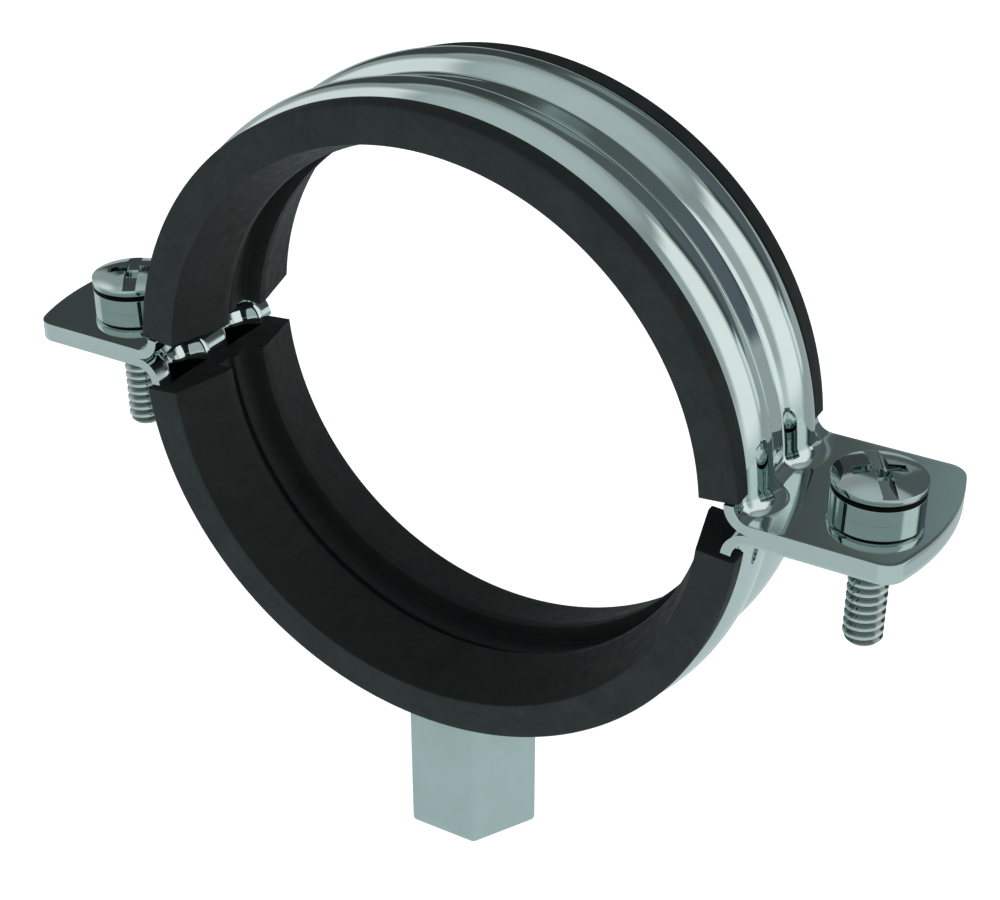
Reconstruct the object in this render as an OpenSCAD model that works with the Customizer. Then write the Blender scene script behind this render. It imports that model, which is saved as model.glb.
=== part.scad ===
// Two-screw pipe ring with a rubber liner and a hexagonal boss.
// Origin: centre of the pipe bore. X runs along the ears, Y is the pipe axis,
// Z points away from the boss.

/* [Pipe bore and liner] */
// Free diameter between the two liner beads
bore_d = 70.4; // [69.6:0.1:71.2]
// Diameter of the liner at its two faces
mouth_d = 74.8; // [74.4:0.1:75.2]
// Width of the liner along the pipe
liner_w = 25.6; // [25.2:0.1:26.4]
// Outer diameter of the liner lips
lip_d = 84.4; // [83.9:0.1:84.6]
// Half width of the bare steel between the lips
lip_edge = 9.9; // [9.5:0.1:10]

/* [Band] */
// Inner diameter of the steel band
band_id = 80.5; // [80.3:0.1:80.6]
// Sheet thickness
sheet = 1.25; // [1.2:0.05:1.3]
// Width of the ears
ear_w = 24.8; // [24.4:0.1:25]
// Width of the band where the lips hold it
hoop_w = 23.2; // [22.8:0.1:23.6]
// Distance of each rib from the middle of the band
rib_y = 6.1; // [6:0.1:6.2]
// Half width of a rib at its foot
rib_half = 4.2; // [4:0.1:4.3]
// Height of a rib above the band
rib_h = 1.8; // [1.4:0.05:1.9]
// Radius of the bend between hoop and ear, on the tight side
bend_r = 2.1; // [1.9:0.1:2.4]

/* [Ears and screws] */
// Distance from the bore centre to each screw
screw_x = 53.8; // [53:0.1:55]
// Distance from the bore centre to the tip of an ear
ear_x = 62.5; // [62:0.1:63.5]
// Radius of the rounded ear end
ear_end_r = 34; // [30:1:36]
// Corner radius of the ears
ear_corner_r = 2.7; // [1.5:0.1:3]
// Thread diameter of the screws
screw_d = 4.8; // [4.6:0.1:5]
// Distance from the split plane down to the screw tip
screw_reach = 17.7; // [16:0.1:20]
// Diameter of the screw head
head_d = 11.2; // [11:0.1:12]
// Diameter of the collar under the head
collar_d = 11.1; // [11:0.1:12]
// Height of the collar
collar_h = 1.9; // [1.7:0.05:2.2]
// Thickness of the black ring above the collar
ring_h = 0.45; // [0.4:0.05:0.7]
// Direction of the slot, measured from the X axis
slot_turn = 123; // [0:1:180]

/* [Boss] */
// Width across the flats
boss_af = 17; // [16:0.5:17]
// Lower end of the boss below the bore centre
boss_low = 64.8; // [60:0.1:70]
// Core diameter of the internal thread
boss_core_d = 8.5; // [8:0.1:9]
// Depth of the threaded hole
boss_depth = 18; // [14:1:19]

/* [Hidden] */

ri = band_id / 2;
ro = ri + sheet;
lip_r = lip_d / 2;
bore_r = bore_d / 2;
mouth_r = mouth_d / 2;
// a rib is an arc of this radius, centred below the band surface
rib_r = (rib_half * rib_half + rib_h * rib_h) / (2 * rib_h);
rib_c = ro + rib_h - rib_r;
// the bend is tangent to the hoop and to the flat ear
bend_c = ro + bend_r;
bend_z = bend_r + sheet;
bend_a = asin(bend_z / bend_c);
bend_x = bend_c * cos(bend_a);
// the liner stops a little above the bend
liner_a = 5.3;
ear_c = ear_x - ear_end_r;
corner_y = ear_w / 2 - ear_corner_r;
corner_x = ear_c + sqrt(pow(ear_end_r - ear_corner_r, 2) - corner_y * corner_y);
wedge = corner_y / (corner_x - ear_c);
collar_top = sheet + collar_h;
head_z = collar_top + ring_h;
clear_d = screw_d + 0.7;
thread_hole_d = screw_d + 0.12;

// ---------------------------------------------------------------- helpers

// turns a profile (radius, width) about the pipe axis, from angle a0 to a1
module about_pipe(a0, a1, fn = 360) {
    rotate([90, 0, 0]) rotate([0, 0, a0]) rotate_extrude(angle = a1 - a0, $fn = fn) children();
}

// extrudes an outline drawn in X and Z along the pipe, centred
module along_pipe(w) {
    rotate([90, 0, 0]) translate([0, 0, -w / 2]) linear_extrude(height = w) children();
}

module rib_outside(y) {
    intersection() {
        translate([rib_c, y]) circle(r = rib_r, $fn = 96);
        translate([ro - 0.6, y - rib_half - 1]) square([rib_h + 1.6, 2 * rib_half + 2]);
    }
}

// cross-section of the hoop: a flat strip with two pressed ribs
module hoop_section() {
    difference() {
        union() {
            translate([ri, -hoop_w / 2]) square([sheet, hoop_w]);
            rib_outside(rib_y);
            rib_outside(-rib_y);
        }
        for (s = [-1, 1]) translate([rib_c, s * rib_y]) circle(r = rib_r - sheet, $fn = 96);
    }
}

// plan of one ear, from the bend to its rounded end
module ear_plan() {
    difference() {
        union() {
            translate([bend_x, -ear_w / 2]) square([corner_x - bend_x, ear_w]);
            intersection() {
                translate([ear_c, 0]) circle(r = ear_end_r, $fn = 180);
                polygon([[bend_x, -(bend_x - ear_c) * wedge], [bend_x, (bend_x - ear_c) * wedge],
                         [ear_c + 40, 40 * wedge], [ear_c + 40, -40 * wedge]]);
            }
            for (s = [-1, 1]) translate([corner_x, s * corner_y]) circle(r = ear_corner_r, $fn = 64);
        }
        children();
    }
}

// quarter bend between the hoop and the ear
module bend() {
    along_pipe(ear_w)
    intersection() {
        difference() {
            translate([bend_x, bend_z]) circle(r = bend_z, $fn = 96);
            translate([bend_x, bend_z]) circle(r = bend_r, $fn = 96);
        }
        polygon([[bend_x, bend_z], [0, 0], [0, -1], [bend_x, -1]]);
    }
    // stub that ties the bend into the narrower hoop
    about_pipe(bend_a - 1, bend_a + 1)
        translate([ri + 0.3, -10]) square([sheet - 0.55, 20]);
}

// one half band, opening downwards, with a hole of the given size in each ear
module half_band(hole_d) {
    about_pipe(bend_a, 180 - bend_a) hoop_section();
    for (m = [0, 1]) mirror([m, 0, 0]) {
        bend();
        linear_extrude(height = sheet)
            ear_plan() translate([screw_x, 0]) circle(d = hole_d, $fn = 64);
    }
}

// cross-section of the liner: two beads, a middle channel with a low rib,
// and lips that close over the edges of the band
module liner_section() {
    h = liner_w / 2;
    difference() {
        polygon([
            [mouth_r, -h], [bore_r, -4.5], [bore_r, -3.42], [bore_r + 2.4, -3.32],
            [bore_r + 2.4, -0.76], [bore_r + 1.8, -0.68], [bore_r + 1.8, 0.68], [bore_r + 2.4, 0.76],
            [bore_r + 2.4, 3.32], [bore_r, 3.42], [bore_r, 4.5], [mouth_r, h],
            [lip_r - 0.35, h], [lip_r, h - 0.35],
            [lip_r, lip_edge], [ri, lip_edge],
            [ri, -lip_edge], [lip_r, -lip_edge],
            [lip_r, -h + 0.35], [lip_r - 0.35, -h]
        ]);
        translate([ri, -hoop_w / 2]) square([sheet, hoop_w]);
        rib_outside(rib_y);
        rib_outside(-rib_y);
    }
}

// half liner, opening downwards
module half_liner() {
    about_pipe(liner_a, 180 - liner_a) liner_section();
}

// head profile: bevelled lower edge, short rim, domed crown
module head_profile() {
    r = head_d / 2;
    dome_r = (r - 0.06) / sin(20.5);
    polygon(concat(
        [[0, head_z], [r - 0.4, head_z], [r, head_z + 0.37], [r, head_z + 1.08]],
        [for (t = [1 : -0.125 : 0])
            [(r - 0.06) * t, head_z + 1.14 + sqrt(dome_r * dome_r - pow((r - 0.06) * t, 2)) - dome_r * cos(20.5)]]
    ));
}

module screw(x) {
    color([0.66, 0.71, 0.71]) translate([x, 0, 0]) {
        difference() {
            rotate_extrude($fn = 96) head_profile();
            // slot across the whole head, and a cross recess with a pit in the middle
            rotate([0, 0, slot_turn]) {
                translate([-head_d, -0.93, head_z + 1.17]) cube([2 * head_d, 1.86, 4]);
                for (a = [0, 90]) rotate([0, 0, a]) translate([-3.05, -0.7, head_z + 1.1]) cube([6.1, 1.4, 4]);
            }
            translate([0, 0, head_z + 0.35]) cylinder(r1 = 0.5, r2 = 1.25, h = 0.9, $fn = 48);
        }
        translate([0, 0, -screw_reach + 0.5]) cylinder(d = screw_d, h = head_z + 0.3 + screw_reach - 0.5, $fn = 64);
        translate([0, 0, -screw_reach]) cylinder(d1 = screw_d - 0.9, d2 = screw_d, h = 0.5, $fn = 64);
    }
}

module retaining_ring(x) {
    color([0.05, 0.06, 0.06]) translate([x, 0, collar_top]) difference() {
        cylinder(r1 = 5.47, r2 = 5.14, h = ring_h, $fn = 96);
        translate([0, 0, -1]) cylinder(d = screw_d + 0.04, h = 3, $fn = 64);
    }
}

module collar(x) {
    color([0.62, 0.68, 0.68]) translate([x, 0, sheet]) difference() {
        cylinder(d = collar_d, h = collar_h, $fn = 96);
        translate([0, 0, -1]) cylinder(d = clear_d, h = collar_h + 2, $fn = 64);
    }
}

// ------------------------------------------------------------------ nodes

module upper_band() { color([0.68, 0.74, 0.73]) half_band(clear_d); }

module lower_band() { color([0.64, 0.70, 0.69]) rotate([180, 0, 0]) half_band(thread_hole_d); }

module upper_liner() { color([0.16, 0.17, 0.17]) half_liner(); }

module lower_liner() { color([0.14, 0.15, 0.15]) rotate([180, 0, 0]) half_liner(); }

module boss() {
    color([0.60, 0.67, 0.66]) difference() {
        translate([0, 0, -boss_low])
            cylinder(r = boss_af / 2 / cos(30), h = boss_low - 38, $fn = 6);
        // saddle that fits the hoop and its ribs
        about_pipe(235, 305) union() {
            translate([20, -12]) square([ro - 20, 24]);
            rib_outside(rib_y);
            rib_outside(-rib_y);
        }
        translate([0, 0, -boss_low - 1]) cylinder(d = boss_core_d, h = boss_depth + 1, $fn = 96);
    }
}

module screw_left() { screw(-screw_x); }
module screw_right() { screw(screw_x); }
module retaining_ring_left() { retaining_ring(-screw_x); }
module retaining_ring_right() { retaining_ring(screw_x); }
module collar_left() { collar(-screw_x); }
module collar_right() { collar(screw_x); }

upper_band();
lower_band();
upper_liner();
lower_liner();
boss();
screw_left();
screw_right();
retaining_ring_left();
retaining_ring_right();
collar_left();
collar_right();
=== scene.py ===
import math

import bmesh
import bpy
import numpy as np
from mathutils import Matrix, Vector
from mathutils.geometry import tessellate_polygon


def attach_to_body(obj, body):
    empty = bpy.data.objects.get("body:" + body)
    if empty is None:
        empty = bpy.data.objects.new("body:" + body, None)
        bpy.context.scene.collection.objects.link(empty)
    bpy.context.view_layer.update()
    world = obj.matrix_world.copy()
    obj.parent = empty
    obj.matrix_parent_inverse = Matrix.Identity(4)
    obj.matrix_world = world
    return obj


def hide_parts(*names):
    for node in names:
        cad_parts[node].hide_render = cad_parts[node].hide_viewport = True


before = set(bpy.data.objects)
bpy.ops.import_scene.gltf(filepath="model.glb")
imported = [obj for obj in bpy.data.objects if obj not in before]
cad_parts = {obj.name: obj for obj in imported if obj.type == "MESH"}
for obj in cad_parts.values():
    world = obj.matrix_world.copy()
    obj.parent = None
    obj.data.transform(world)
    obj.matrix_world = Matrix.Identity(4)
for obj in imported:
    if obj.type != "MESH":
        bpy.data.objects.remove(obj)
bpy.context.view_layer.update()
MM = 0.001

# ------------------------------------------------------------------ sizes, mm
RI, SHEET = 40.25, 1.25           # hoop inner radius, sheet thickness
RO = RI + SHEET
RIB_Y, RIB_HALF, RIB_H = 6.1, 4.2, 1.8
RIB_R = (RIB_HALF ** 2 + RIB_H ** 2) / (2 * RIB_H)
RIB_C = RO + RIB_H - RIB_R
HOOP_W, EAR_W = 23.2, 24.8
BEND_R = 2.1
BEND_Z = BEND_R + SHEET
SCREW_X = 53.8
EAR_X, EAR_END_R, CORNER_R = 62.5, 34.0, 2.7
COLLAR_TOP, COLLAR_R = 3.15, 5.55
HEAD_Z, HEAD_R = 3.6, 5.6
SLOT_TURN = 123.0
LIP_R, MOUTH_R, BEAD_R = 42.2, 37.4, 35.2
LINER_A = 5.3


# ------------------------------------------------------------------ mesh tools
def new_object(name, verts, faces, material, body, nodes=(), sharp=40.0, weld=2e-6, smooth=True):
    """Makes a mesh object from points in mm, welds it, and sets which edges stay sharp."""
    me = bpy.data.meshes.new(name)
    me.from_pydata([(x * MM, y * MM, z * MM) for x, y, z in verts], [], faces)
    ob = bpy.data.objects.new(name, me)
    bpy.context.scene.collection.objects.link(ob)
    tidy(me, sharp, weld, smooth)
    me.materials.append(material)
    attach(ob, body, nodes)
    return ob


def tidy(me, sharp=40.0, weld=2e-6, smooth=True):
    bm = bmesh.new()
    bm.from_mesh(me)
    if weld:
        bmesh.ops.remove_doubles(bm, verts=bm.verts, dist=weld)
        bmesh.ops.dissolve_degenerate(bm, edges=bm.edges, dist=1e-7)
    bmesh.ops.recalc_face_normals(bm, faces=bm.faces)
    lim = math.radians(sharp)
    for f in bm.faces:
        f.smooth = smooth
    for e in bm.edges:
        if len(e.link_faces) == 2:
            e.smooth = e.calc_face_angle(0.0) < lim
    bm.to_mesh(me)
    bm.free()
    me.update()


def attach(ob, body, nodes):
    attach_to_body(ob, body)
    if nodes:
        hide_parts(*nodes)


def grid_faces(rows, cols, close_cols=True, start=0):
    """Quads of a grid of points stored row by row."""
    out = []
    n = cols if close_cols else cols - 1
    for i in range(rows - 1):
        for j in range(n):
            k = (j + 1) % cols
            out.append((start + i * cols + j, start + i * cols + k, start + (i + 1) * cols + k, start + (i + 1) * cols + j))
    return out


def lathe(profile, segs, cx=0.0, cy=0.0, close=False):
    """Turns (radius, z) points about a vertical axis."""
    verts, faces = [], []
    n = len(profile)
    for s in range(segs):
        a = 2 * math.pi * s / segs
        c, q = math.cos(a), math.sin(a)
        for r, z in profile:
            verts.append((cx + r * c, cy + r * q, z))
    m = n if close else n - 1
    for s in range(segs):
        t = (s + 1) % segs
        for i in range(m):
            k = (i + 1) % n
            faces.append((s * n + i, t * n + i, t * n + k, s * n + k))
    return verts, faces


def fillet(points, radii, steps=4):
    """Rounds the corners of an open or closed chain of 2D points; radii 0 keeps a corner."""
    out = []
    n = len(points)
    for i, (p, r) in enumerate(zip(points, radii)):
        if r <= 0:
            out.append(tuple(p))
            continue
        a = np.array(points[(i - 1) % n], float) - p
        b = np.array(points[(i + 1) % n], float) - p
        la, lb = np.linalg.norm(a), np.linalg.norm(b)
        a, b = a / la, b / lb
        half = math.acos(max(-1, min(1, float(a @ b)))) / 2
        t = r / math.tan(half)
        c = np.array(p, float) + (a + b) / np.linalg.norm(a + b) * (r / math.sin(half))
        p0, p1 = np.array(p) + a * t, np.array(p) + b * t
        a0 = math.atan2(*(p0 - c)[::-1])
        a1 = math.atan2(*(p1 - c)[::-1])
        d = (a1 - a0 + math.pi) % (2 * math.pi) - math.pi
        for s in range(steps + 1):
            w = a0 + d * s / steps
            out.append((float(c[0] + r * math.cos(w)), float(c[1] + r * math.sin(w))))
    return out


# ------------------------------------------------------------------ materials
def material(name):
    m = bpy.data.materials.new(name)
    m.use_nodes = True
    nt = m.node_tree
    return m, nt, nt.nodes["Principled BSDF"]


def node(nt, kind, **values):
    n = nt.nodes.new(kind)
    for k, v in values.items():
        if k in n.inputs:
            n.inputs[k].default_value = v
        else:
            setattr(n, k, v)
    return n


def ramp(nt, source, stops):
    r = nt.nodes.new("ShaderNodeValToRGB")
    e = r.color_ramp.elements
    while len(e) > 1:
        e.remove(e[-1])
    e[0].position, e[0].color = stops[0][0], stops[0][1]
    for p, c in stops[1:]:
        x = e.new(p)
        x.color = c
    nt.links.new(source, r.inputs["Fac"])
    return r.outputs["Color"]


def grey(v, tint=(1, 1, 1)):
    return (v * tint[0], v * tint[1], v * tint[2], 1)


def noise(nt, coords, scale, detail=3.0, rough=0.55, dist=0.0):
    n = nt.nodes.new("ShaderNodeTexNoise")
    n.inputs["Scale"].default_value = scale
    n.inputs["Detail"].default_value = detail
    n.inputs["Roughness"].default_value = rough
    n.inputs["Distortion"].default_value = dist
    nt.links.new(coords, n.inputs["Vector"])
    return n.outputs["Fac"]


def object_coords(nt, scale=(1, 1, 1)):
    t = nt.nodes.new("ShaderNodeTexCoord")
    m = nt.nodes.new("ShaderNodeMapping")
    m.inputs["Scale"].default_value = scale
    nt.links.new(t.outputs["Object"], m.inputs["Vector"])
    return m.outputs["Vector"]


def bump(nt, height, strength, distance, under=None):
    b = nt.nodes.new("ShaderNodeBump")
    b.inputs["Strength"].default_value = strength
    b.inputs["Distance"].default_value = distance
    nt.links.new(height, b.inputs["Height"])
    if under is not None:
        nt.links.new(under, b.inputs["Normal"])
    return b.outputs["Normal"]


def painted_groove_shade(nt, color):
    """Painted shade: darkens the colour in the thread grooves of both shanks, by the distance from the screw's axis,
    below the ears, standing in for the shade that falls in them.
    """
    split = nt.nodes.new("ShaderNodeSeparateXYZ")
    nt.links.new(object_coords(nt), split.inputs[0])

    def op(kind, a, b):
        n = node(nt, "ShaderNodeMath", operation=kind)
        for i, v in enumerate((a, b)):
            if isinstance(v, (int, float)):
                n.inputs[i].default_value = v
            else:
                nt.links.new(v, n.inputs[i])
        return n.outputs[0]

    def span(value, lo, hi):
        n = nt.nodes.new("ShaderNodeMapRange")
        n.inputs["From Min"].default_value = lo
        n.inputs["From Max"].default_value = hi
        nt.links.new(value, n.inputs["Value"])
        return n.outputs["Result"]

    dx = op("SUBTRACT", op("ABSOLUTE", split.outputs["X"], 0.0), SCREW_X * MM)
    r = op("SQRT", op("ADD", op("MULTIPLY", dx, dx), op("MULTIPLY", split.outputs["Y"], split.outputs["Y"])), 0.0)
    k = op("MAXIMUM", span(r, 0.0021, 0.00243), span(split.outputs["Z"], -0.003, -0.001))
    mix = nt.nodes.new("ShaderNodeMix")
    mix.data_type = "RGBA"
    mix.blend_type = "MULTIPLY"
    mix.inputs["Factor"].default_value = 1.0
    nt.links.new(color, mix.inputs["A"])
    # painted shade: groove roots at 0.3 of the colour, rising to full colour on the crests
    nt.links.new(ramp(nt, k, [(0.0, grey(0.3)), (0.75, grey(0.5)), (1.0, grey(1.0))]), mix.inputs["B"])
    return mix.outputs["Result"]


def plated(name, base, dark, rough_lo, rough_hi, wave=0.1, grain=0.06, paint_thread_shade=False):
    """Bright zinc plating: faint cloudy tone, rolling streaks along the strip, slight waviness."""
    m, nt, p = material(name)
    p.inputs["Metallic"].default_value = 1.0
    c1 = object_coords(nt)
    tone = noise(nt, c1, 90.0, 4.0, 0.6, 0.4)
    cloud = ramp(nt, tone, [(0.3, dark), (0.7, base)])
    # on the screws the colour also gets painted shade in the thread grooves
    nt.links.new(painted_groove_shade(nt, cloud) if paint_thread_shade else cloud, p.inputs["Base Color"])
    streak = noise(nt, object_coords(nt, (1, 14, 1)), 60.0, 5.0, 0.65)
    nt.links.new(ramp(nt, streak, [(0.3, grey(rough_lo)), (0.75, grey(rough_hi))]), p.inputs["Roughness"])
    w = bump(nt, noise(nt, c1, 55.0, 2.0, 0.5), wave, 0.0004)
    nt.links.new(bump(nt, noise(nt, c1, 2600.0, 3.0, 0.6), grain, 0.00002, w), p.inputs["Normal"])
    return m


def satin(name, base, dark, rough, grain=0.3):
    """Satin zinc plating on turned or sawn steel."""
    m, nt, p = material(name)
    p.inputs["Metallic"].default_value = 0.55
    c1 = object_coords(nt)
    tone = noise(nt, c1, 160.0, 5.0, 0.6)
    nt.links.new(ramp(nt, tone, [(0.3, dark), (0.72, base)]), p.inputs["Base Color"])
    nt.links.new(ramp(nt, noise(nt, c1, 420.0, 4.0, 0.6), [(0.3, grey(rough - 0.07)), (0.7, grey(rough + 0.07))]), p.inputs["Roughness"])
    w = bump(nt, noise(nt, c1, 300.0, 3.0, 0.5), 0.12, 0.0002)
    nt.links.new(bump(nt, noise(nt, object_coords(nt, (6, 6, 1)), 1500.0, 4.0, 0.6), grain, 0.00003, w), p.inputs["Normal"])
    return m


def rubber_material(name, tone=0.0315, rough=0.6, painted_inner_shade=0.7):
    """Matt black moulded rubber with a fine leathery grain and faint smears, and painted shade on all but the two side
    faces.
    """
    m, nt, p = material(name)
    c1 = object_coords(nt)
    tint = (0.76, 1.0, 0.93)
    smear = noise(nt, object_coords(nt, (1, 0.45, 1)), 260.0, 6.0, 0.7, 0.8)
    cloth = ramp(nt, smear, [(0.3, grey(tone * 0.72, tint)), (0.62, grey(tone, tint)), (0.8, grey(tone * 1.35, tint))])
    # painted shade: the bore, the lips and the end faces are painted darker than the two side faces, by the distance
    # from the mid-plane
    split = nt.nodes.new("ShaderNodeSeparateXYZ")
    nt.links.new(c1, split.inputs[0])
    off = node(nt, "ShaderNodeMath", operation="ABSOLUTE")
    nt.links.new(split.outputs["Y"], off.inputs[0])
    side = nt.nodes.new("ShaderNodeMapRange")
    side.interpolation_type = "SMOOTHSTEP"
    side.inputs["From Min"].default_value = 0.01255
    side.inputs["From Max"].default_value = 0.01278
    nt.links.new(off.outputs[0], side.inputs["Value"])
    pick = nt.nodes.new("ShaderNodeMix")
    pick.data_type = "RGBA"
    pick.blend_type = "MULTIPLY"
    pick.inputs["Factor"].default_value = 1.0
    nt.links.new(cloth, pick.inputs["A"])
    nt.links.new(ramp(nt, side.outputs["Result"], [(0.0, grey(painted_inner_shade)), (1.0, grey(1.0))]), pick.inputs["B"])
    nt.links.new(pick.outputs["Result"], p.inputs["Base Color"])
    nt.links.new(ramp(nt, noise(nt, c1, 700.0, 4.0, 0.65), [(0.3, grey(rough - 0.1)), (0.7, grey(rough + 0.1))]), p.inputs["Roughness"])
    p.inputs["Specular IOR Level"].default_value = 0.12
    fine = bump(nt, noise(nt, c1, 2400.0, 4.0, 0.7), 0.22, 0.00006)
    nt.links.new(bump(nt, noise(nt, c1, 520.0, 3.0, 0.6, 0.6), 0.16, 0.00014, fine), p.inputs["Normal"])
    return m


def plastic_material(name):
    m, nt, p = material(name)
    c1 = object_coords(nt)
    nt.links.new(ramp(nt, noise(nt, c1, 500.0, 3.0), [(0.3, grey(0.0012)), (0.7, grey(0.0025))]), p.inputs["Base Color"])
    p.inputs["Specular IOR Level"].default_value = 0.08
    nt.links.new(ramp(nt, noise(nt, c1, 900.0, 3.0), [(0.3, grey(0.4)), (0.7, grey(0.55))]), p.inputs["Roughness"])
    nt.links.new(bump(nt, noise(nt, c1, 1800.0, 3.0), 0.15, 0.00004), p.inputs["Normal"])
    return m


ZINC = (0.86, 1.0, 0.975)
band_mat = plated("band_zinc", grey(0.68, ZINC), grey(0.64, ZINC), 0.02, 0.05)
# screw zinc, with painted shade in the thread grooves
screw_mat = plated("screw_zinc", grey(0.68, ZINC), grey(0.62, ZINC), 0.03, 0.06, 0.04, 0.06, paint_thread_shade=True)
boss_mat = satin("boss_zinc", grey(0.525, (0.80, 1.0, 0.99)), grey(0.485, (0.80, 1.0, 0.99)), 0.5)
rubber_mat = rubber_material("liner_rubber")
ring_mat = plastic_material("ring_black")


# ------------------------------------------------------------------ band
def smooth_profile():
    """Height of the two pressed ribs over the plain strip, outside and inside, with softened feet."""
    y = np.arange(-16, 16.0001, 0.02)
    out, inn = np.zeros_like(y), np.zeros_like(y)
    for c in (-RIB_Y, RIB_Y):
        d2 = (y - c) ** 2
        a = RIB_C + np.sqrt(np.clip(RIB_R ** 2 - d2, 0, None)) - RO
        out = np.where(d2 < RIB_HALF ** 2, np.maximum(out, a), out)
        b = RIB_C + np.sqrt(np.clip((RIB_R - SHEET) ** 2 - d2, 0, None)) - RI
        inn = np.where(d2 < (RIB_R - SHEET) ** 2, np.maximum(inn, b), inn)
    k = np.exp(-0.5 * (np.arange(-60, 61) * 0.02 / 0.30) ** 2)
    k /= k.sum()
    return y, np.convolve(out, k, "same"), np.convolve(inn, k, "same")


_py, _po, _pi = smooth_profile()


def h_out(y):
    return float(np.interp(y, _py, _po))


def h_in(y):
    return float(np.interp(y, _py, _pi))


# (inset, share of the thickness): a trace of rounding on the open side, none on the split plane
EDGE = [(0.6, 0.0), (0.05, 0.0), (0.014, 0.006), (0.0, 0.035), (0.0, 0.5), (0.0, 0.97), (0.0, 1.0), (0.6, 1.0)]


def band_columns():
    """Closed chain round the strip's cross-section: (y, share of the thickness), outside first."""
    h = HOOP_W / 2
    inner = list(np.linspace(-(h - 0.6), h - 0.6, 77))
    cols = [(y, 0.0) for y in inner]
    cols += [(h - d, k) for d, k in EDGE[1:-1]]
    cols += [(y, 1.0) for y in reversed(inner)]
    cols += [(-(h - d), k) for d, k in reversed(EDGE[1:-1])]
    return cols, inner


def wide(y, w):
    """Moves the margins outwards where the strip is wider; w runs from 0 to 1."""
    s = min(1.0, max(0.0, (abs(y) - 10.3) / 0.6))
    return y + math.copysign(0.8 * s * w, y)


def half_band_mesh(hole_r):
    """One half band opening downwards: hoop, two bends with the ribs running out in them, two ears with holes."""
    cols, inner = band_columns()
    steps = [0, 0.1, 0.22, 0.34, 0.6, 1.2] + [2 + i for i in range(84)]
    nb, x_end = 14, 46.4
    rows = []
    for kind, n in (("flat", 3), ("bend", nb), ("wall", len(steps) + 1)):
        for i in range(n):
            row = []
            for y, k in cols:
                yc = math.copysign(min(abs(y), 10.6), y)
                ro, ri = RO + h_out(yc), RI + h_in(yc)
                bc = ro + BEND_R
                xc = math.sqrt(bc ** 2 - BEND_Z ** 2)
                at = math.degrees(math.asin(BEND_Z / bc))
                if kind == "flat":
                    t = i / n
                    x, z, w = x_end + (xc - x_end) * t, SHEET * (1 - k), 1.0
                elif kind == "bend":
                    t = 1 - i / nb
                    phi = math.radians(180 + at + (90 - at) * t)
                    thick = SHEET + (ro - ri - SHEET) * math.cos(phi - math.pi)
                    rho = BEND_R + k * thick
                    x, z, w = xc + rho * math.cos(phi), BEND_Z + rho * math.sin(phi), 1.0
                else:
                    full = 90 - at
                    a = at + (steps[i] / 86.0 * full if i < len(steps) else full)
                    r = ro * (1 - k) + ri * k
                    x, z = r * math.cos(math.radians(a)), r * math.sin(math.radians(a))
                    w = 1.0 if i < 2 else (0.0 if i > 2 else 0.12)
                row.append((x, wide(y, w), z))
            rows.append(row)
    verts = [p for row in rows for p in row]
    faces = grid_faces(len(rows), len(cols))

    # ear plate: outline from the front corner of the grid round to the rear one
    h = EAR_W / 2
    cy = h - CORNER_R
    ec = EAR_X - EAR_END_R
    cx = ec + math.sqrt((EAR_END_R - CORNER_R) ** 2 - cy ** 2)
    wedge = math.atan2(cy, cx - ec)
    line = [(x, -h, 0.0, -1.0) for x in np.linspace(x_end, cx, 18)[:-1]]
    for a in np.linspace(-math.pi / 2, -wedge, 10)[:-1]:
        line.append((cx + CORNER_R * math.cos(a), -cy + CORNER_R * math.sin(a), math.cos(a), math.sin(a)))
    for a in np.linspace(-wedge, 0, 16):
        line.append((ec + EAR_END_R * math.cos(a), EAR_END_R * math.sin(a), math.cos(a), math.sin(a)))
    line += [(x, -y, nx, -ny) for x, y, nx, ny in reversed(line[:-1])]
    start = len(verts)
    for x, y, nx, ny in line:
        for d, k in EDGE:
            verts.append((x - nx * d, y - ny * d, SHEET * (1 - k)))
    ne = len(EDGE)
    faces += grid_faces(len(line), ne, close_cols=False, start=start)
    for side, k, l in ((0, 0.0, 0), (1, 1.0, ne - 1)):
        ring = [start + m * ne + l for m in range(len(line))]
        z = SHEET * (1 - k)
        for y in reversed(inner[1:-1]):
            verts.append((x_end, wide(y, 1.0), z))
            ring.append(len(verts) - 1)
        holes = []
        for rr, dz in ((hole_r + 0.9, 0.0), (hole_r + 0.22, 0.0), (hole_r + 0.05, 0.07), (hole_r, 0.2), (hole_r, 0.625)):
            loop = []
            for v in ring:
                x, y, _ = verts[v]
                a = math.atan2(y, x - SCREW_X)
                verts.append((SCREW_X + rr * math.cos(a), rr * math.sin(a), z + (dz if k else -dz)))
                loop.append(len(verts) - 1)
            holes.append(loop)
        prev = ring
        for loop in holes:
            n = len(prev)
            for i in range(n):
                j = (i + 1) % n
                f = (prev[i], prev[j], loop[j], loop[i])
                faces.append(f if side == 0 else f[::-1])
            prev = loop
    n = len(verts)
    verts += [(-x, y, z) for x, y, z in verts]
    faces += [tuple(v + n for v in reversed(f)) for f in faces]
    return verts, faces


v, f = half_band_mesh(2.75)
new_object("upper_band_sheet", v, f, band_mat, "upper_half", ["upper_band"], sharp=50)
v, f = half_band_mesh(2.46)
v = [(x, -y, -z) for x, y, z in v]
new_object("lower_band_sheet", v, f, band_mat, "lower_half", ["lower_band"], sharp=50)


# ------------------------------------------------------------------ liner
def liner_chain():
    """Half of the liner's cross-section as (radius, |y|), from the ridge outwards to the web's back."""
    pts = [
        (37.0, 0.0), (37.0, 0.68), (37.6, 0.76), (37.6, 3.32), (BEAD_R, 3.42), (BEAD_R, 4.5), (MOUTH_R, 12.8),
        (LIP_R, 12.8), (LIP_R, 9.9), (RO + 0.01, 9.9), (RO + 0.01, 11.6), (RI, 11.6), (RI, 0.0),
    ]
    rad = [0, 0.1, 0.08, 0.2, 0.1, 1.6, 0.12, 0.42, 0.14, 0, 0, 0, 0]
    return fillet(pts, rad, 4)


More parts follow.
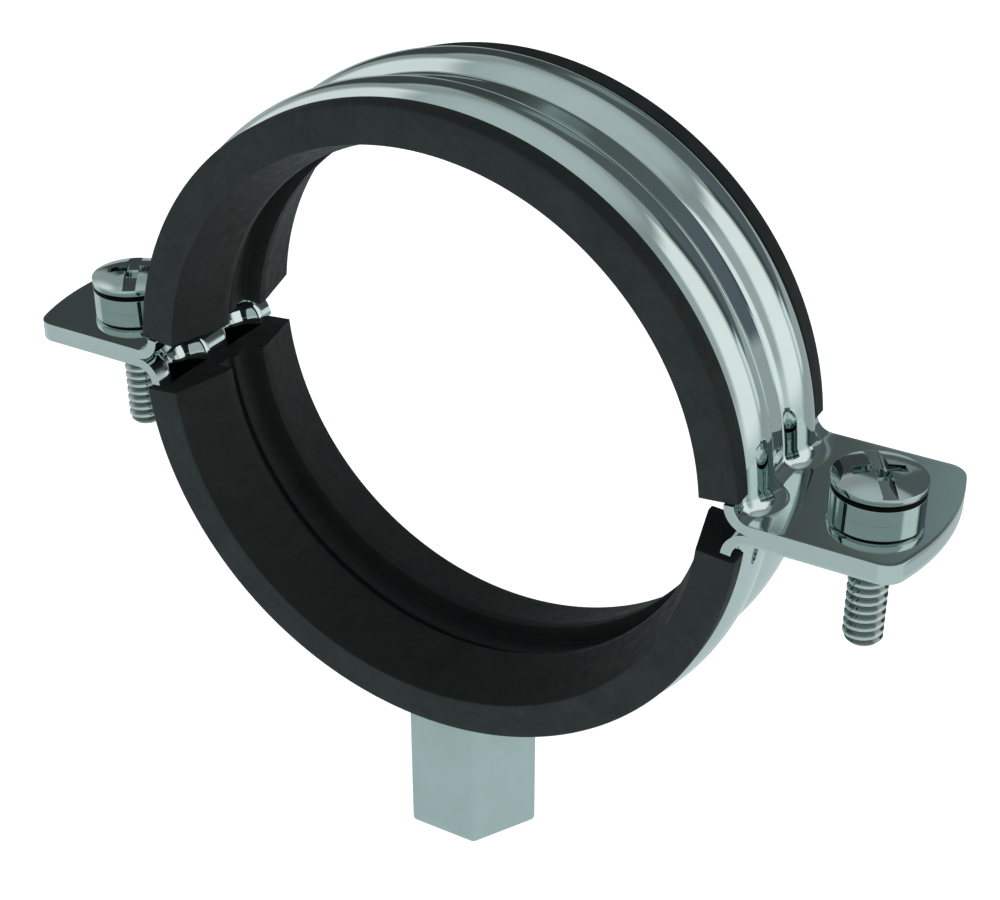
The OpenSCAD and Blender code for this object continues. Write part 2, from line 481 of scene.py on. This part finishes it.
def liner_mesh():
    """Half liner opening downwards."""
    half = liner_chain()
    # extra points along the long straight runs keep the surface even
    dense = []
    for a, b in zip(half[:-1], half[1:]):
        n = max(1, int(math.hypot(b[0] - a[0], b[1] - a[1]) / 0.8))
        dense += [(a[0] + (b[0] - a[0]) * i / n, a[1] + (b[1] - a[1]) * i / n) for i in range(n)]
    dense.append(half[-1])
    chain = [(r, -y) for r, y in reversed(dense)] + [(r, y) for r, y in dense[1:-1]]
    # chain runs: web back front side ... ridge ... web back rear side, closed along the web's back
    n = 172
    verts = []
    for i in range(n + 1):
        a = math.radians(LINER_A + (180 - 2 * LINER_A) * i / n)
        verts += [(r * math.cos(a), y, r * math.sin(a)) for r, y in chain]
    m = len(chain)
    faces = grid_faces(n + 1, m)
    tris = tessellate_polygon([[Vector((r, y, 0)) for r, y in chain]])
    for t in tris:
        faces.append(tuple(t))
        faces.append(tuple(n * m + i for i in reversed(t)))
    return verts, faces


v, f = liner_mesh()
new_object("upper_liner_rubber", v, f, rubber_mat, "upper_half", ["upper_liner"], sharp=32)
v = [(x, -y, -z) for x, y, z in v]
new_object("lower_liner_rubber", v, f, rubber_mat, "lower_half", ["lower_liner"], sharp=32)


# ------------------------------------------------------------------ boss
def hexagon(af, corner, steps=5):
    r = af / math.sqrt(3)
    pts = [(r * math.cos(math.pi / 3 * i), r * math.sin(math.pi / 3 * i)) for i in range(6)]
    return fillet(pts, [corner] * 6, steps)


def boss_mesh():
    z0 = -64.8
    verts, faces = [], []
    base = hexagon(17.0, 0.75)
    # points along the flats, so that the saddle follows the ribs
    ring = []
    n = len(base)
    for i in range(n):
        a, b = base[i], base[(i + 1) % n]
        k = max(1, int(math.hypot(b[0] - a[0], b[1] - a[1]) / 0.45))
        ring += [(a[0] + (b[0] - a[0]) * t / k, a[1] + (b[1] - a[1]) * t / k) for t in range(k)]
    m = len(ring)

    def inset(d):
        s = (17.0 - 2 * d) / 17.0
        return [(x * s, y * s) for x, y in ring]

    def seat(x, y):
        return -math.sqrt((RO + h_out(y)) ** 2 - x * x) + 0.12

    bore = [(5.35, z0), (4.45, z0 + 0.95)]
    rows = []
    e = 0.5
    for t in range(6):
        a = math.pi / 2 * t / 5
        rows.append([(x, y, z0 + e - e * math.cos(a)) for x, y in inset(e - e * math.sin(a))])
    for t in range(1, 13):
        rows.append([(x, y, z0 + e + (seat(x, y) - z0 - e) * t / 12) for x, y in ring])
    verts = [p for r in rows for p in r]
    faces = grid_faces(len(rows), m)
    # closed top, just under the strip
    for s in (0.8, 0.55, 0.3):
        loop = [(x * s, y * s) for x, y in ring]
        rows_at = len(verts)
        verts += [(x, y, seat(x, y)) for x, y in loop]
        prev = rows_at - m
        faces += [(prev + i, prev + (i + 1) % m, rows_at + (i + 1) % m, rows_at + i) for i in range(m)]
    verts.append((0, 0, seat(0, 0)))
    last = len(verts) - 1
    faces += [(last - m + i, last - m + (i + 1) % m, last) for i in range(m)]
    # underside: flat ring to the countersink, then the thread
    flat = len(verts)
    for r in (7.2, 6.2, 5.4):
        for x, y in ring:
            a = math.atan2(y, x)
            verts.append((r * math.cos(a), r * math.sin(a), z0))
    prev = 0
    for j in range(3):
        cur = flat + j * m
        faces += [(prev + (i + 1) % m, prev + i, cur + i, cur + (i + 1) % m) for i in range(m)]
        prev = cur
    pitch, depth = 1.5, 16.0
    zs = [0.05, 0.3, 0.6, 0.95] + list(np.arange(1.05, depth, pitch / 12))
    for z in zs:
        for x, y in ring:
            a = math.atan2(y, x)
            ph = (z / pitch - a / (2 * math.pi)) % 1.0
            tri = abs(2 * ph - 1)
            wave = min(1.0, max(0.0, (tri - 0.12) / 0.76))
            r = 4.25 + 0.72 * wave
            limit = 5.35 - (z - 0.05) * 1.0
            r = min(max(r, limit), 5.35) if z < 1.2 else r
            verts.append((r * math.cos(a), r * math.sin(a), z0 + z))
        cur = len(verts) - m
        faces += [(prev + (i + 1) % m, prev + i, cur + i, cur + (i + 1) % m) for i in range(m)]
        prev = cur
    for r, z in ((4.25, depth + 0.2), (4.25, 17.9), (2.0, 18.9)):
        for x, y in ring:
            a = math.atan2(y, x)
            verts.append((r * math.cos(a), r * math.sin(a), z0 + z))
        cur = len(verts) - m
        faces += [(prev + (i + 1) % m, prev + i, cur + i, cur + (i + 1) % m) for i in range(m)]
        prev = cur
    verts.append((0, 0, z0 + 19.5))
    last = len(verts) - 1
    faces += [(prev + (i + 1) % m, prev + i, last) for i in range(m)]
    return verts, faces


v, f = boss_mesh()
new_object("boss_nut", v, f, boss_mat, "lower_half", ["boss"], sharp=48)


# ------------------------------------------------------------------ screws
def solid(name, verts, faces):
    me = bpy.data.meshes.new(name)
    me.from_pydata([tuple(c * MM for c in p) for p in verts], [], faces)
    ob = bpy.data.objects.new(name, me)
    bpy.context.scene.collection.objects.link(ob)
    tidy(me, 40)
    return ob


def carve(ob, cutters):
    """Subtracts the cutters from ob and removes them."""
    for c in cutters:
        md = ob.modifiers.new("cut", "BOOLEAN")
        md.operation, md.solver, md.object = "DIFFERENCE", "EXACT", c
    dg = bpy.context.evaluated_depsgraph_get()
    dg.update()
    me = bpy.data.meshes.new_from_object(ob.evaluated_get(dg))
    ob.modifiers.clear()
    old = ob.data
    ob.data = me
    bpy.data.meshes.remove(old)
    for c in cutters:
        cm = c.data
        bpy.data.objects.remove(c)
        bpy.data.meshes.remove(cm)


CROWN_Z, CROWN_TILT = HEAD_Z + 1.14, 20.5      # upper edge of the rim, slope of the crown there
CROWN_R = (HEAD_R - 0.06) / math.sin(math.radians(CROWN_TILT))


def crown(r):
    """Height of the domed crown at a distance from the screw's axis."""
    drop = CROWN_R * math.cos(math.radians(CROWN_TILT))
    return CROWN_Z + math.sqrt(CROWN_R ** 2 - r * r) - drop


def head_solid():
    """Oval head: bevelled lower edge, straight rim, domed crown."""
    prof = [(0.0, HEAD_Z), (2.2, HEAD_Z), (HEAD_R - 0.4, HEAD_Z), (HEAD_R - 0.36, HEAD_Z + 0.015), (HEAD_R - 0.03, HEAD_Z + 0.32), (HEAD_R, HEAD_Z + 0.37)]
    prof += [(HEAD_R, CROWN_Z - 0.08), (HEAD_R - 0.012, CROWN_Z - 0.035), (HEAD_R - 0.045, CROWN_Z - 0.005)]
    for k in range(0, 17):
        r = (HEAD_R - 0.07) * (1 - k / 16)
        prof.append((r, crown(r)))
    segs = 144
    verts, faces = [], []
    n = len(prof)
    for s in range(segs):
        a = 2 * math.pi * s / segs
        for r, z in prof[1:-1]:
            verts.append((r * math.cos(a), r * math.sin(a), z))
    m = n - 2
    for s in range(segs):
        t = (s + 1) % segs
        for i in range(m - 1):
            faces.append((s * m + i, t * m + i, t * m + i + 1, s * m + i + 1))
    verts += [(0, 0, prof[0][1]), (0, 0, prof[-1][1])]
    b, c = len(verts) - 2, len(verts) - 1
    for s in range(segs):
        t = (s + 1) % segs
        faces.append((s * m, b, t * m))
        faces.append((s * m + m - 1, t * m + m - 1, c))
    return solid("head", verts, faces)


def prism(points_bottom, points_top):
    n = len(points_bottom)
    verts = points_bottom + points_top
    faces = [tuple(reversed(range(n))), tuple(range(n, 2 * n))]
    faces += [(i, (i + 1) % n, n + (i + 1) % n, n + i) for i in range(n)]
    return verts, faces


def slot_cutters(turn):
    """One slot across the whole head and a cross recess that is deepest in the middle."""
    top = HEAD_Z + 4.0
    c, s = math.cos(math.radians(turn)), math.sin(math.radians(turn))

    def place(p):
        return [(x * c - y * s, x * s + y * c, z) for x, y, z in p]

    z_slot, w, w2 = CROWN_Z + 0.03, 0.86, 1.02
    b = place([(-7, -w, z_slot), (7, -w, z_slot), (7, w, z_slot), (-7, w, z_slot)])
    t = place([(-7, -w2, top), (7, -w2, top), (7, w2, top), (-7, w2, top)])
    out = [solid("cut_slot", *prism(b, t))]
    # outline of one pair of arms, seen from the side
    z3 = crown(3.0)
    for rot in (0, 90):
        if rot:
            side = [(0.55, HEAD_Z - 0.75), (1.0, HEAD_Z + 0.1), (1.25, z_slot - 0.3), (2.9, z_slot - 0.26), (3.02, z3 - 0.2), (3.12, z3), (3.3, top)]
        else:
            side = [(0.55, HEAD_Z - 0.75), (1.0, HEAD_Z + 0.1), (1.3, z_slot + 0.02), (1.4, top)]
        side = side + [(-u, z) for u, z in reversed(side)]
        front, back = [], []
        for u, z in side:
            half = 0.62 + 0.075 * (z - HEAD_Z)
            p, q = (u, -half, z), (u, half, z)
            if rot:
                p, q = (half, u, z), (-half, u, z)
            front.append(p)
            back.append(q)
        n = len(side)
        verts = place(front) + place(back)
        faces = [tuple(reversed(range(n))), tuple(range(n, 2 * n))]
        faces += [(i, (i + 1) % n, n + (i + 1) % n, n + i) for i in range(n)]
        out.append(solid("cut_arm", verts, faces))
    return out


def soften(me, width=0.09, limit=38):
    """Small rounding of every sharp edge."""
    bm = bmesh.new()
    bm.from_mesh(me)
    bmesh.ops.remove_doubles(bm, verts=bm.verts, dist=4e-6)
    bmesh.ops.dissolve_degenerate(bm, edges=bm.edges, dist=2e-6)
    edges = [e for e in bm.edges if len(e.link_faces) == 2 and e.calc_face_angle(0.0) > math.radians(limit)]
    bmesh.ops.bevel(bm, geom=edges, offset=width * MM, offset_type="OFFSET", segments=2, profile=0.5, affect="EDGES", clamp_overlap=True)
    bmesh.ops.remove_doubles(bm, verts=bm.verts, dist=1e-6)
    bm.to_mesh(me)
    bm.free()


def shank_mesh():
    """Rolled thread with flat crests and round roots, chamfered tip, plain neck into the head."""
    pitch, r_crest, depth = 1.2, 2.44, 0.42
    segs = 72
    z_tip, z_run, z_top = -17.6, 0.9, HEAD_Z + 0.2
    zs = [z_tip] + list(np.arange(z_tip + 0.03, z_run + 1.3, pitch / 18)) + [2.6, z_top]
    verts, faces = [], []
    for z in zs:
        for s in range(segs):
            a = 2 * math.pi * s / segs
            ph = (z / pitch - a / (2 * math.pi) + 0.318 + 0.5) % 1.0 - 0.5
            fade = min(1.0, max(0.0, (z_run + 0.9 - z) / 1.2))
            t = min(1.0, max(0.0, (abs(2 * ph) - 0.3) / 0.62))
            r = r_crest - depth * fade * t
            r = min(r, r_crest - max(0.0, 0.6 - (z - z_tip)) * 0.9)
            verts.append((r * math.cos(a), r * math.sin(a), z))
    faces = grid_faces(len(zs), segs)
    faces.append(tuple(reversed(range(segs))))
    n = len(verts)
    faces.append(tuple(range(n - segs, n)))
    return verts, faces


def weigh(ob):
    """Lets the large faces set the shading normals, so that flat faces look flat beside their rounded edges."""
    md = ob.modifiers.new("weigh", "WEIGHTED_NORMAL")
    md.keep_sharp = True
    dg = bpy.context.evaluated_depsgraph_get()
    dg.update()
    me = bpy.data.meshes.new_from_object(ob.evaluated_get(dg))
    ob.modifiers.clear()
    old = ob.data
    ob.data = me
    bpy.data.meshes.remove(old)


def place_mesh(ob, x):
    ob.data.transform(Matrix.Translation((x * MM, 0, 0)))


for side, sx in (("left", -1), ("right", 1)):
    head = head_solid()
    carve(head, slot_cutters(SLOT_TURN))
    soften(head.data)
    tidy(head.data, 40, weld=1e-6)
    v, f = shank_mesh()
    shank = solid("shank", v, f)
    tidy(shank.data, 60)
    bm = bmesh.new()
    bm.from_mesh(head.data)
    bm.from_mesh(shank.data)
    me = bpy.data.meshes.new(f"screw_{side}")
    bm.to_mesh(me)
    bm.free()
    ob = bpy.data.objects.new(f"screw_{side}_body", me)
    bpy.context.scene.collection.objects.link(ob)
    me.materials.append(screw_mat)
    place_mesh(ob, sx * SCREW_X)
    weigh(ob)
    attach(ob, f"{side}_screw", [f"screw_{side}"])
    for o in (head, shank):
        d = o.data
        bpy.data.objects.remove(o)
        bpy.data.meshes.remove(d)

    # dished ring, widest where it lies on the collar
    prof = fillet([(2.45, COLLAR_TOP + 0.004), (5.49, COLLAR_TOP + 0.004), (5.47, COLLAR_TOP + 0.12), (5.14, HEAD_Z - 0.004), (2.45, HEAD_Z - 0.004)], [0.04, 0.02, 0.08, 0.04, 0.04], 3)
    v, f = lathe(prof, 96, sx * SCREW_X, 0, close=True)
    new_object(f"retaining_ring_{side}_body", v, f, ring_mat, f"{side}_screw", [f"retaining_ring_{side}"], sharp=60)

    prof = fillet([(2.8, SHEET), (COLLAR_R, SHEET), (COLLAR_R, SHEET + 0.05), (COLLAR_R, COLLAR_TOP - 0.07), (COLLAR_R, COLLAR_TOP), (2.8, COLLAR_TOP)], [0.1, 0.012, 0, 0, 0.03, 0.1], 4)
    v, f = lathe(prof, 120, sx * SCREW_X, 0, close=True)
    new_object(f"collar_{side}_body", v, f, screw_mat, f"{side}_screw", [f"collar_{side}"], sharp=60)


# ------------------------------------------------------------------ studio
def floor_material():
    m, nt, p = material("studio_floor")
    c1 = object_coords(nt)
    nt.links.new(ramp(nt, noise(nt, c1, 3.0, 2.0), [(0.3, grey(0.86)), (0.7, grey(0.88))]), p.inputs["Base Color"])
    p.inputs["Roughness"].default_value = 0.9
    p.inputs["Specular IOR Level"].default_value = 0.1
    p.inputs["Emission Color"].default_value = (1, 1, 1, 1)
    p.inputs["Emission Strength"].default_value = 0.75
    return m


me = bpy.data.meshes.new("floor")
S = 6.0
me.from_pydata([(-S, -S, -0.0652), (S, -S, -0.0652), (S, S, -0.0652), (-S, S, -0.0652)], [], [(0, 1, 2, 3)])
floor = bpy.data.objects.new("floor", me)
bpy.context.scene.collection.objects.link(floor)
me.materials.append(floor_material())
floor.visible_glossy = False

# surroundings: white floor, dim room, soft panels right, left and overhead, one dark screen behind the ring
world = bpy.data.worlds.new("studio")
bpy.context.scene.world = world
world.use_nodes = True
wt = world.node_tree
bg = wt.nodes["Background"]
tc = wt.nodes.new("ShaderNodeTexCoord")
sep = wt.nodes.new("ShaderNodeSeparateXYZ")
wt.links.new(tc.outputs["Generated"], sep.inputs[0])


def calc(op, a, b=None):
    n = wt.nodes.new("ShaderNodeMath")
    n.operation = op
    for i, v in enumerate((a, b)):
        if v is None:
            continue
        if isinstance(v, (int, float)):
            n.inputs[i].default_value = v
        else:
            wt.links.new(v, n.inputs[i])
    return n.outputs[0]


# heading of each ray in degrees: 0 is behind the ring, 90 on its right, 180 in front
azimuth = calc("MULTIPLY", calc("ARCTAN2", sep.outputs["X"], sep.outputs["Y"]), 180 / math.pi)
height = calc("MULTIPLY", calc("ARCSINE", sep.outputs["Z"]), 180 / math.pi)


def step(value, lo, hi):
    m = wt.nodes.new("ShaderNodeMapRange")
    m.interpolation_type = "SMOOTHSTEP"
    m.inputs["From Min"].default_value = lo
    m.inputs["From Max"].default_value = hi
    wt.links.new(value, m.inputs["Value"])
    return m.outputs["Result"]


def panel(az0, az1, el0, el1, soft=4.0):
    """1 inside a range of headings and heights, with soft edges."""
    m = calc("MULTIPLY", step(azimuth, az0 - soft, az0 + soft), step(azimuth, az1 + soft, az1 - soft))
    return calc("MULTIPLY", m, calc("MULTIPLY", step(height, el0 - soft, el0 + soft), step(height, el1 + soft, el1 - soft)))


def disc(az, el, inner, outer):
    """1 inside the inner angle round a heading, fading to 0 at the outer one."""
    a, e = math.radians(az), math.radians(el)
    d = wt.nodes.new("ShaderNodeVectorMath")
    d.operation = "DOT_PRODUCT"
    wt.links.new(tc.outputs["Generated"], d.inputs[0])
    d.inputs[1].default_value = (math.sin(a) * math.cos(e), math.cos(a) * math.cos(e), math.sin(e))
    return step(d.outputs["Value"], math.cos(math.radians(outer)), math.cos(math.radians(inner)))


def cover(under, mask, color):
    """Lays a colour over what is under it, where the mask is 1."""
    x = wt.nodes.new("ShaderNodeMix")
    x.data_type = "RGBA"
    wt.links.new(mask, x.inputs["Factor"])
    wt.links.new(under, x.inputs["A"])
    x.inputs["B"].default_value = color
    return x.outputs["Result"]


DIM = (0.80, 1.0, 1.03)
MID = (0.90, 1.0, 1.01)
heights = [(-90, 0.72, MID), (-20, 0.74, MID), (-4, 0.72, MID), (3, 0.52, MID), (36, 0.54, MID), (43, 0.42, MID), (50, 0.4, MID), (55, 0.48, MID), (60, 0.58, MID), (72, 0.65, MID), (90, 0.66, MID)]
share = wt.nodes.new("ShaderNodeMapRange")
share.inputs["From Min"].default_value = -90
share.inputs["From Max"].default_value = 90
wt.links.new(height, share.inputs["Value"])
room = ramp(wt, share.outputs["Result"], [((e + 90) / 180, grey(v, t)) for e, v, t in heights])
room = cover(room, panel(-75, 58, -32, 0, 6), grey(0.46, MID))
room = cover(room, panel(-70, -50, 3, 50, 5), grey(0.42, MID))
screen = calc("MULTIPLY", disc(2, 13, 37, 42), step(height, -4, 2))
room = cover(room, screen, grey(0.13, (0.84, 1.0, 0.95)))
room = cover(room, calc("MULTIPLY", screen, step(azimuth, -5, 36)), grey(0.145, (0.84, 1.0, 1.17)))
room = cover(room, panel(-175, -108, -45, -8, 8), grey(0.65, MID))
room = cover(room, panel(-52, -20, 2, 36, 3), grey(0.072, MID))
room = cover(room, panel(-16.2, -4, 12, 33, 2.2), grey(0.29, DIM))
room = cover(room, panel(34, 46, 7, 38, 2.5), grey(0.09, MID))
room = cover(room, panel(37, 47, -10, 6, 2), grey(1.0, MID))
room = cover(room, panel(51, 96, -11, 47, 5), grey(1.13))
room = cover(room, panel(-104, -64, 4, 54, 5), grey(1.0))
wt.links.new(room, bg.inputs["Color"])
bg.inputs["Strength"].default_value = 1.0


def area(name, where, aim, size, power, color=(1, 1, 1)):
    d = bpy.data.lights.new(name, "AREA")
    d.shape, d.size, d.size_y, d.energy, d.color = "RECTANGLE", size[0], size[1], power, color
    o = bpy.data.objects.new(name, d)
    bpy.context.scene.collection.objects.link(o)
    o.location = where
    o.rotation_mode = "QUATERNION"
    o.rotation_quaternion = (Vector(aim) - Vector(where)).to_track_quat("-Z", "Y")
    return o


key = area("key_front", (0.15, -0.75, 0.35), (0, 0, 0), (0.7, 0.5), 0.6)
key.visible_glossy = False

# ------------------------------------------------------------------ camera
az, el = math.radians(30), math.radians(30)
cam_data = bpy.data.cameras.new("camera")
cam_data.sensor_width = 36.0
cam_data.lens = 69.36
cam_data.clip_start, cam_data.clip_end = 0.01, 50
cam = bpy.data.objects.new("camera", cam_data)
bpy.context.scene.collection.objects.link(cam)
cam.location = (0.110024, -0.183227, 0.115848)
back = Vector((math.sin(az) * math.cos(el), -math.cos(az) * math.cos(el), math.sin(el)))
cam.rotation_mode = "QUATERNION"
cam.rotation_quaternion = (-back).to_track_quat("-Z", "Y")
bpy.context.scene.camera = cam
bpy.context.scene.view_settings.view_transform = "Standard"
